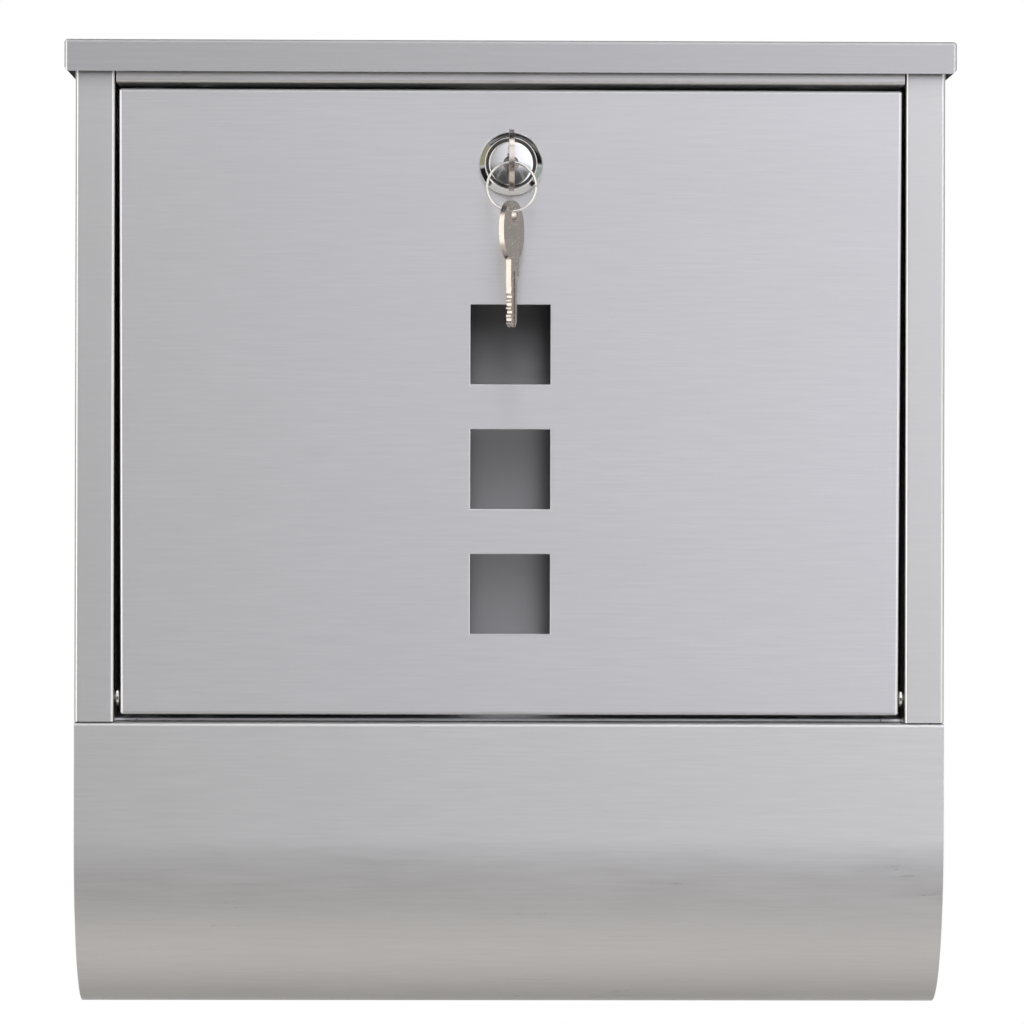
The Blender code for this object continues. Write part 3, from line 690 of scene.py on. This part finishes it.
def make_lid(looks):
    """The cover with its skirts, trimmed to round the front corners, and its hinge knuckles."""
    hinge = PIVOT["lid_hinge"]
    half = LID_HIGH.x
    spare = 0.001  # what the trimming takes off the skirts
    low = (-half, LID_LOW.y, TOP - LID_SKIRT - spare)
    bm = tray(low, (half, LID_REAR, TOP), missing=(Vector((0, 0, -1)), Vector((0, 1, 0))))
    lid = place_sheet("lid_cover", bm, looks["lid_steel"], "lid", "lid")
    outline = bmesh.new()
    bmesh.ops.create_cube(outline, size=1)
    bottom, top = TOP - LID_SKIRT, TOP + CUT_REACH
    width = 2 * half + 0.00004  # a hair wider, so that no two faces coincide
    bmesh.ops.scale(outline, verts=outline.verts, vec=(width, 0.12, top - bottom))
    lower = [
        e
        for e in outline.edges
        if all(v.co.z < 0 for v in e.verts) and abs(e.verts[0].co.x - e.verts[1].co.x) < 1e-6
    ]
    bmesh.ops.bevel(
        outline, geom=lower, offset=LID_CORNER, segments=10, profile=0.5, affect="EDGES"
    )
    bmesh.ops.translate(outline, verts=outline.verts, vec=(0, FRONT / 2, (top + bottom) / 2))
    combine(lid, "INTERSECT", helper(outline))
    for start, end in list(knuckle_spans())[1::2]:
        tab = block((start, LID_REAR - 0.001, TOP - SHEET), (end, hinge.y, TOP))
        combine(lid, "UNION", tab)
        combine(lid, "UNION", bar(KNUCKLE, start, end, (1, 0, 0), (0, hinge.y, hinge.z)))
    bore_knuckles(lid)
    return settle(lid)


def make_lid_hinge(looks):
    """The leaf welded inside the back panel, and the rod through both rows of knuckles."""
    hinge = PIVOT["lid_hinge"]
    back = HOLDER_HIGH.y
    clear = hinge.z - KNUCKLE - 2 * FIT
    outline = [
        (-HINGE_HALF, LEAF_LOW),
        (HINGE_HALF, LEAF_LOW),
        (HINGE_HALF, clear),
        (-HINGE_HALF, clear),
    ]
    bm = plate(outline, SHEET, (0, back - SHEET / 2, 0), (QUARTER, 0, 0))
    leaf = place("hinge_leaf", bm, looks["body_steel"], "cabinet", "lid_hinge_leaf")
    for start, end in list(knuckle_spans())[::2]:
        tab = block((start, back - SHEET, clear - 0.001), (end, back, hinge.z))
        combine(leaf, "UNION", tab)
        combine(leaf, "UNION", bar(KNUCKLE, start, end, (1, 0, 0), (0, hinge.y, hinge.z)))
    bore_knuckles(leaf)
    settle(leaf)
    low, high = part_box("lid_hinge_rod")
    radius, end = (high.z - low.z) / 2, high.x
    peen = 0.0002
    profile = [
        (0, end),
        (radius - peen, end),
        (radius, end - peen),
        (radius, peen - end),
        (radius - peen, -end),
        (0, -end),
    ]
    bm = turned(profile, hinge, (0, QUARTER, 0), 48)
    rod = place("hinge_rod", bm, looks["bright_steel"], "cabinet", "lid_hinge_rod")
    settle(rod, 0)


# ---- door ----


def make_door(looks):
    """A shallow tray with three windows, a little wider at the top than at the hinges."""
    hinge = PIVOT["door_hinge"]
    half = DOOR_HIGH.x - DOOR_FLARE
    high = (half, FRONT + DOOR_FLANGE, DOOR_HIGH.z)
    bm = tray((-half, FRONT, DOOR_LOW.z), high, missing=(Vector((0, 1, 0)),))
    for vert in bm.verts:
        rise = max(0, (vert.co.z - hinge.z) / (DOOR_HIGH.z - hinge.z))
        vert.co.x += math.copysign(rise * DOOR_FLARE, vert.co.x)
    door = place_sheet("door", bm, looks["door_steel"], "door", "door_panel")
    for k in (-1, 0, 1):
        middle = WINDOW_MIDDLE + k * WINDOW_PITCH
        low = (-WINDOW / 2, FRONT - CUT_REACH, middle - WINDOW / 2)
        high = (WINDOW / 2, FRONT + CUT_REACH, middle + WINDOW / 2)
        combine(door, "DIFFERENCE", block(low, high))
    combine(door, "DIFFERENCE", bar(BARREL + 0.0002, -CUT_REACH, CUT_REACH, (0, 1, 0), LOCK))
    for side in (-1, 1):
        at = (side * half, hinge.y, hinge.z)
        combine(door, "DIFFERENCE", bar(RIVET[0] + 0.0001, -0.002, 0.002, (1, 0, 0), at))
    return settle(door, 0.00025, 3)


def make_door_hinges(looks):
    """On each side a rivet through the upright's fold and the door's flange, and their spacer."""
    hinge = PIVOT["door_hinge"]
    half = DOOR_HIGH.x - DOOR_FLARE
    stem_radius, head, height = RIVET
    stem = INNER + SHEET + FIT
    tail = half - SHEET - FIT
    dome = [(head * math.sin(t), height * math.cos(t)) for t in (QUARTER * k / 8 for k in range(9))]
    for side, name in ((-1, "left"), (1, "right")):
        profile = [(r, stem + h) for r, h in dome]
        profile += [(stem_radius, stem), (stem_radius, tail)]
        profile += [(r, tail - h) for r, h in reversed(dome)]
        turn = (0, side * QUARTER, 0)
        bm = turned(profile, (0, hinge.y, hinge.z), turn, 48)
        look = looks["bright_steel"]
        node = "door_hinge_rivet_" + name
        settle(place("rivet_" + name, bm, look, "cabinet", node), 0)
        middle = Vector((side * (INNER + half) / 2, hinge.y, hinge.z))
        radius, thick = SPACER
        round_off = 0.0003
        ring = [
            (stem_radius + FIT, thick / 2),
            (radius - round_off, thick / 2),
            (radius, thick / 2 - round_off),
            (radius, round_off - thick / 2),
            (radius - round_off, -thick / 2),
            (stem_radius + FIT, -thick / 2),
        ]
        node = "door_hinge_spacer_" + name
        bm = turned(ring, middle, turn, 64)
        settle(place("spacer_" + name, bm, look, "cabinet", node), 0.0001)


# ---- lock ----


def at_depth(depth):
    """A point on the lock's axis, outwards from the door's face."""
    return LOCK - Vector((0, depth, 0))


def lock_block(width, height, front, back, inner=False):
    """A helper box round the lock's axis, from one depth to another."""
    low = LOCK + Vector((-width / 2, -front, -height / 2))
    return block(low, LOCK + Vector((width / 2, -back, height / 2)), inner)


def bezel_profile():
    """From the inner rim of the dish over a narrow crest and down the cone to the door's face."""
    middle, height, round_off = CREST
    turns = [math.radians(angle) for angle in range(-60, 31, 15)] + [CONE]
    crest = [(middle + round_off * math.sin(t), height + round_off * math.cos(t)) for t in turns]
    start, high = crest[-1]
    cone = [(radius, high - (radius - start) * math.tan(CONE)) for radius in CONE_RADII]
    cone += [(BEZEL, cone[-1][1] - 0.0002), (BEZEL, FIT)]
    rim, below = BEZEL_RIM
    return [(rim, DISC_FRONT + below), *crest, *cone]


def make_lock_housing(looks):
    """The bezel and the threaded barrel behind it, its bore grooved for the dropped wafers."""
    pitch, depth = THREAD
    start = -SHEET - 0.0006
    rows = [start - pitch / 6 * k for k in range(int((start - BARREL_END) / pitch * 6))]
    profile = bezel_profile() + [(BARREL, FIT), (BARREL, start)]
    profile += [(BARREL, row) for row in rows[1:]] + [(BARREL - depth, BARREL_END)]
    seat = DISC_BACK - FIT
    profile += [(PLUG_BORE, BARREL_END), (PLUG_BORE, seat), (DISC + FIT, seat)]
    bm = turned(profile, (0, 0, 0), (0, 0, 0))
    for vert in bm.verts:
        radius = vert.co.xy.length
        if abs(radius - BARREL) < 1e-5 and vert.co.z < start - pitch / 2:
            turn = (vert.co.z / pitch + math.atan2(vert.co.y, vert.co.x) / (2 * math.pi)) % 1
            vert.co.xy *= (BARREL - depth * 2 * min(turn, 1 - turn)) / radius
    # The dish's recess counts as inner: rougher, with painted shade in its colour.
    for face in bm.faces:
        middle = face.calc_center_median()
        face.material_index = int(middle.z > seat - FIT and RECESS[0] < middle.xy.length < RECESS[1])
    bmesh.ops.transform(bm, matrix=placement(at_depth(0), (QUARTER, 0, 0)), verts=bm.verts)
    housing = place("lock_bezel", bm, looks["bezel_chrome"], "door", "lock_housing")
    housing.data.materials.append(looks["bezel_chrome"])
    low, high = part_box("wafer_1")
    groove = (high.x - low.x + FIT, 2 * (LOCK.z - low.z + WAFER_DROP) + FIT)
    for size in (groove, groove[::-1]):
        combine(housing, "DIFFERENCE", lock_block(*size, -FIT, BARREL_END - 0.001))
    return settle(housing, 0)


def make_plug(looks):
    """The polished disc with its keyway, the slotted plug behind it and the square tail."""
    dome = [(DISC * 0.96 * k / 10, DISC_FRONT - 0.0004 * (k / 10) ** 2) for k in range(11)]
    profile = dome + [
        (DISC, DISC_FRONT - 0.0005),
        (DISC, DISC_BACK),
        (PLUG, DISC_BACK),
        (PLUG, PLUG_END),
        (0, PLUG_END),
    ]
    bm = turned(profile, at_depth(0), (QUARTER, 0, 0))
    plug = place("lock_cylinder", bm, looks["lock_chrome"], "lock_plug", "lock_plug")
    combine(plug, "UNION", lock_block(TAIL, TAIL, PLUG_END + 0.0005, TAIL_END))
    plug.data.materials.append(looks["lock_chrome"])
    # The recess and keyway count as inner: rougher, with painted shade in their colour.
    recess = bar(0.0027, DISC_FRONT - 0.0009, DISC_FRONT + 0.001, (0, -1, 0), LOCK, inner=True)
    combine(plug, "DIFFERENCE", recess)
    combine(plug, "DIFFERENCE", lock_block(*KEYWAY, DISC_FRONT + 0.001, -0.015, inner=True))
    thread = bar(0.002, TAIL_END - 0.001, PLUG_END - 0.0003, (0, -1, 0), LOCK)
    combine(plug, "DIFFERENCE", thread)
    width, height, thick = WAFER_SLOT
    for k in range(WAFERS):
        middle = WAFER_FIRST - k * WAFER_PITCH
        slot = lock_block(width, height, middle + thick / 2, middle - thick / 2)
        combine(plug, "DIFFERENCE", slot)
    return settle(plug, 0.00008)


def make_fixings(looks):
    """The toothed washer and the chamfered hexagon nut that clamp the lock to the door."""
    teeth, *radii = TEETH
    star = []
    for k in range(2 * teeth):
        radius, angle = radii[k % 2], math.pi * k / teeth
        star.append((radius * math.cos(angle), radius * math.sin(angle)))
    washer = -SHEET - FIT - WASHER / 2
    turn = (QUARTER, 0, 0)
    bm = plate(star, WASHER, at_depth(washer), turn)
    piece = place("toothed_washer", bm, looks["zinc"], "door", "lock_washer")
    combine(piece, "DIFFERENCE", bar(BARREL + 0.0002, -0.02, 0.02, (0, -1, 0), at_depth(washer)))
    settle(piece, 0.0001)
    corner, thick = NUT
    nut = washer - WASHER / 2 - FIT - thick / 2
    bm = plate(circle(corner, 6), thick, at_depth(nut), turn)
    piece = place("barrel_nut", bm, looks["zinc"], "door", "lock_nut")
    half = [(0, 0.002), (0.0101, 0.002), (0.0117, 0.0012)]
    cone = half + [(radius, -height) for radius, height in reversed(half)]
    combine(piece, "INTERSECT", helper(turned(cone, at_depth(nut), turn, 72)))
    combine(piece, "DIFFERENCE", bar(BARREL + 0.0002, -0.02, 0.02, (0, -1, 0), at_depth(nut)))
    settle(piece, 0.0001)


def make_cam(looks):
    """The cam on the plug's tail, held by a washer and a cross-slotted screw."""
    width, length, thick = CAM
    half = width / 2
    outline = arc(half, QUARTER, 3 * QUARTER, 24, (half - length, 0))
    outline += arc(half, -QUARTER, QUARTER, 24)
    turn = (QUARTER, 0, 0)
    middle = PLUG_END - FIT - thick / 2
    bm = plate(outline, thick, at_depth(middle), turn)
    piece = place("cam_plate", bm, looks["zinc"], "lock_plug", "cam")
    square = TAIL + 0.0004
    combine(piece, "DIFFERENCE", lock_block(square, square, 0, -0.03))
    settle(piece, 0.0002, 3)
    washer = TAIL_END - FIT - WASHER / 2
    bm = plate(circle(0.0046), WASHER, at_depth(washer), turn)
    piece = place("cam_screw_washer", bm, looks["zinc"], "lock_plug", "cam_washer")
    combine(piece, "DIFFERENCE", bar(0.0022, -0.03, 0.03, (0, -1, 0), LOCK))
    settle(piece, 0.00015, 3)
    under = washer - WASHER / 2 - FIT
    stem, head, rim, dome = SCREW
    turns = [QUARTER * k / 8 for k in range(9)]
    profile = [(0, PLUG_END - 0.0006), (stem, PLUG_END - 0.0006), (stem, under), (head, under)]
    profile += [(head * math.cos(t), under - rim - dome * math.sin(t)) for t in turns]
    bm = turned(profile, at_depth(0), turn, 64)
    piece = place("cam_screw_head", bm, looks["zinc"], "lock_plug", "cam_screw")
    for size in ((0.0009, 0.0044), (0.0044, 0.0009)):
        combine(piece, "DIFFERENCE", lock_block(*size, under - 0.0009, under - 0.003))
    settle(piece, 0.0001)


# ---- keys ----


def bow_outline(steps=72):
    """The key's rounded head, from the neck's +b edge round to the blade's -b edge."""

    def rounded_off(value):
        return math.copysign(abs(value) ** BOW_POWER, value)

    def meeting(b):
        return math.asin((b / BOW[0]) ** (1 / BOW_POWER))

    half = BLADE[0] / 2
    start, end = meeting(half + NECK[0]), 2 * math.pi - meeting(half)
    turns = [start + (end - start) * k / steps for k in range(steps + 1)]
    return [(BOW[1] * rounded_off(math.cos(t)), BOW[0] * rounded_off(math.sin(t))) for t in turns]


def blade_outline():
    """From the bow along the -b edge with its cuts, round the tip, and back to the neck's shoulder."""
    half = BLADE[0] / 2
    end = BOW[1] + BLADE[1]
    first = end - INSERTED + DISC_FRONT - WAFER_FIRST
    points = []
    for k, cut in enumerate(CUTS):
        middle = first + k * WAFER_PITCH
        points += [(middle - 0.0011, -half), (middle - 0.0004, cut - half)]
        points += [(middle + 0.0004, cut - half), (middle + 0.0011, -half)]
    points += [(end - 0.0012, -half), (end, -0.0014), (end, 0.0014), (end - 0.0015, half)]
    shoulder = BOW[1] + NECK[1]
    return points + [(shoulder, half), (shoulder, half + NECK[0])]


def make_key(looks, name, body, node, at, turn):
    """A flat key, its blade grooved on both sides. Its own X runs from its hole to its tip."""
    shift = BOW[1] - HOLE_FROM_END
    outline = [(a + shift, b) for a, b in bow_outline() + blade_outline()]
    bm = plate(outline, BLADE[2], at, turn)
    key = place(name, bm, looks["key_nickel"], body, node)
    move = placement(at, turn)
    axis = move.to_3x3() @ Vector((0, 0, 1))
    combine(key, "DIFFERENCE", bar(KEY_HOLE, -0.004, 0.004, axis, at, 48))
    length, width = KEY_GROOVE
    for side, across in ((1, 0.0004), (-1, -0.0009)):
        groove = bmesh.new()
        bmesh.ops.create_cube(groove, size=1)
        bmesh.ops.scale(groove, verts=groove.verts, vec=(length, width, width))
        middle = Vector((shift + BOW[1] + 0.0035 + length / 2, across, side * BLADE[2] / 2))
        bmesh.ops.transform(groove, matrix=move @ Matrix.Translation(middle), verts=groove.verts)
        combine(key, "DIFFERENCE", helper(groove))
    return settle(key, 0.00022, 3)


def make_keys(looks):
    """The key in the lock, upright, and the spare one that hangs from the ring, a little twisted."""
    ahead = DISC_FRONT + BLADE[1] - INSERTED + 2 * BOW[1] - HOLE_FROM_END
    in_lock = LOCK - Vector((0, ahead, 0))
    make_key(looks, "inserted_key", "key_in_lock", "key_in_lock", in_lock, (QUARTER, 0, QUARTER))
    hanging = PIVOT["spare_key_swing"] - Vector((0, 0, HANG))
    make_key(looks, "hanging_key", "spare_key", "spare_key", hanging, (0, QUARTER, TWIST))


def make_ring(looks, steps=96, sides=16):
    """A split ring: two turns of round wire, side by side, with rounded ends."""
    bm = bmesh.new()
    top = PIVOT["ring_swing"]
    rows = []
    total = 2 * steps
    for k in range(total + 1):
        turn = 2 * math.pi * k / steps
        out = Vector((math.cos(turn), 0, math.sin(turn)))
        middle = top + out * RING + Vector((0, RING_PITCH * (k / steps - 0.75), -RING))
        from_end = min(k, total - k) * 2 * math.pi * RING / steps
        size = WIRE * math.sqrt(max(0.1, 1 - max(0, 1 - from_end / WIRE) ** 2))
        row = []
        for s in range(sides):
            angle = 2 * math.pi * s / sides
            spot = middle + out * size * math.cos(angle) + Vector((0, size * math.sin(angle), 0))
            row.append(bm.verts.new(spot))
        rows.append(row)
    for first, second in zip(rows, rows[1:]):
        for s in range(sides):
            t = (s + 1) % sides
            bm.faces.new((first[s], first[t], second[t], second[s]))
    bm.faces.new(rows[0])
    bm.faces.new(rows[-1])
    look = looks["bright_steel"]
    settle(place("split_ring", bm, look, "key_ring", "key_ring"), 0)


# ---- pieces kept from the frame ----


def dress_nodes(looks):
    """The floor and the wafers keep their CAD shape, with rounded edges and the finished metals."""
    kept = {"floor_panel": ("body_steel", 0.0003)}
    kept.update({f"wafer_{k + 1}": ("wafer_brass", 0.00008) for k in range(WAFERS)})
    for node, (look, edge) in kept.items():
        piece = frame["nodes"][node]
        piece.data.materials.clear()
        piece.data.materials.append(looks[look])
        bevel = piece.modifiers.new("edges", "BEVEL")
        bevel.width = edge
        bevel.segments = 2
        bevel.limit_method = "ANGLE"
        bevel.angle_limit = math.radians(35)


# ---- studio ----


def make_world(cards, surround):
    """A dim room with soft cards of light in it, white where the camera looks straight at it.

    Each card is (azimuth, half width, elevation, half height, softness, colour), in degrees, azimuth 0
    being in front of the box and growing to the right. A colour may be a (left, right) pair.
    """
    world = bpy.data.worlds.new("studio")
    bpy.context.scene.world = world
    world.use_nodes = True
    tree = world.node_tree
    tree.nodes.clear()

    def math_node(operation, *values):
        made = tree.nodes.new("ShaderNodeMath")
        made.operation = operation
        for socket, value in zip(made.inputs, values):
            if isinstance(value, (int, float)):
                socket.default_value = value
            else:
                tree.links.new(value, socket)
        return made.outputs["Value"]

    def smooth(value, low, high, to_low, to_high, kind="SMOOTHSTEP"):
        made = tree.nodes.new("ShaderNodeMapRange")
        made.interpolation_type = kind
        names = ("From Min", "From Max", "To Min", "To Max")
        for key, number in zip(names, (low, high, to_low, to_high)):
            made.inputs[key].default_value = number
        tree.links.new(value, made.inputs["Value"])
        return made.outputs["Result"]

    def blend(share, first, second):
        made = tree.nodes.new("ShaderNodeMix")
        made.data_type = "RGBA"
        tree.links.new(share, made.inputs["Factor"])
        for socket, value in ((made.inputs["A"], first), (made.inputs["B"], second)):
            if isinstance(value, tuple):
                socket.default_value = (*value, 1)
            else:
                tree.links.new(value, socket)
        return made.outputs["Result"]

    split = tree.nodes.new("ShaderNodeSeparateXYZ")
    tree.links.new(tree.nodes.new("ShaderNodeTexCoord").outputs["Generated"], split.inputs[0])
    azimuth = math_node("ARCTAN2", split.outputs["X"], math_node("MULTIPLY", split.outputs["Y"], -1))
    elevation = math_node("ARCSINE", split.outputs["Z"])
    color = surround
    for middle, half_width, height, half_height, softness, paint in cards:
        share = None
        for value, centre, half in ((azimuth, middle, half_width), (elevation, height, half_height)):
            away = math_node("ABSOLUTE", math_node("SUBTRACT", value, math.radians(centre)))
            edge = smooth(away, math.radians(half - softness), math.radians(half + softness), 1, 0)
            share = math_node("MULTIPLY", share, edge) if share else edge
        if len(paint) == 2:
            across = smooth(azimuth, math.radians(-12), math.radians(13), 0, 1, "LINEAR")
            paint = blend(across, *paint)
        color = blend(share, color, paint)
    lit = tree.nodes.new("ShaderNodeBackground")
    tree.links.new(color, lit.inputs["Color"])
    seen = tree.nodes.new("ShaderNodeBackground")
    seen.inputs["Color"].default_value = (1, 1, 1, 1)
    choose = tree.nodes.new("ShaderNodeMixShader")
    rays = tree.nodes.new("ShaderNodeLightPath")
    tree.links.new(rays.outputs["Is Camera Ray"], choose.inputs["Fac"])
    tree.links.new(lit.outputs["Background"], choose.inputs[1])
    tree.links.new(seen.outputs["Background"], choose.inputs[2])
    output = tree.nodes.new("ShaderNodeOutputWorld")
    tree.links.new(choose.outputs["Shader"], output.inputs["Surface"])


def make_floor():
    """A pale round floor well below the wall-mounted box, darkened towards the back by a painted shadow."""
    bm = bmesh.new()
    bmesh.ops.create_circle(bm, cap_ends=True, segments=96, radius=FLOOR_RADIUS)
    bmesh.ops.translate(bm, verts=bm.verts, vec=(0, 0, FLOOR))
    mesh = bpy.data.meshes.new("floor")
    bm.to_mesh(mesh)
    bm.free()
    floor = bpy.data.objects.new("floor", mesh)
    bpy.context.scene.collection.objects.link(floor)
    look = Nodes("pale_floor")
    look.shader.inputs["Metallic"].default_value = 0
    pale = look.mix(look.noise(3), (0.78, 0.765, 0.75), (0.82, 0.81, 0.80))
    split = look.add("ShaderNodeSeparateXYZ")
    look.link(look.place, split.inputs[0])
    # Painted shadow: the floor darkens towards the back, under and behind the box.
    painted_shadow_behind = look.spread(split.outputs["Y"], 0, 1, -0.30, 0.10)
    look.link(look.mix(painted_shadow_behind, pale, (0.40, 0.39, 0.38)), look.shader.inputs["Base Color"])
    look.link(look.spread(look.noise(40), 0.55, 0.7), look.shader.inputs["Roughness"])
    mesh.materials.append(look.material)


def add_wash(name, at, aim, size, power, color):
    """A large soft lamp for the floor. It doesn't show in the metal."""
    data = bpy.data.lights.new(name, "AREA")
    data.shape = "RECTANGLE"
    data.size, data.size_y = size
    data.energy = power
    data.color = color
    lamp = bpy.data.objects.new(name, data)
    lamp.location = at
    lamp.rotation_euler = (Vector(aim) - Vector(at)).to_track_quat("-Z", "Y").to_euler()
    lamp.visible_camera = False
    lamp.visible_glossy = False
    bpy.context.scene.collection.objects.link(lamp)


def make_camera():
    """Straight on, a little left of the middle and below it, from about a metre and a half."""
    data = bpy.data.cameras.new("camera")
    data.sensor_width = 36
    data.lens = 153.0
    data.shift_y = -0.0110
    camera = bpy.data.objects.new("camera", data)
    camera.location = (-0.0195, -1.58, -0.0384)
    camera.rotation_euler = (QUARTER, math.radians(-0.14), math.radians(-0.77))
    bpy.context.scene.collection.objects.link(camera)
    bpy.context.scene.camera = camera


def main():
    """Builds every piece, then the studio and the camera."""
    looks = make_looks()
    make_housing(looks)
    make_holder(looks)
    make_rail(looks)
    make_lid(looks)
    make_lid_hinge(looks)
    make_door(looks)
    make_door_hinges(looks)
    make_lock_housing(looks)
    make_plug(looks)
    make_fixings(looks)
    make_cam(looks)
    make_keys(looks)
    make_ring(looks)
    dress_nodes(looks)
    make_world(CARDS, SURROUND)
    make_floor()
    add_wash(
        "floor_wash", at=(0, -1.1, 0.9), aim=(0, -0.5, -0.77), size=(1.2, 0.8), power=9, color=(1, 0.90, 0.80)
    )
    make_camera()
    bpy.context.scene.view_settings.view_transform = "Standard"


main()
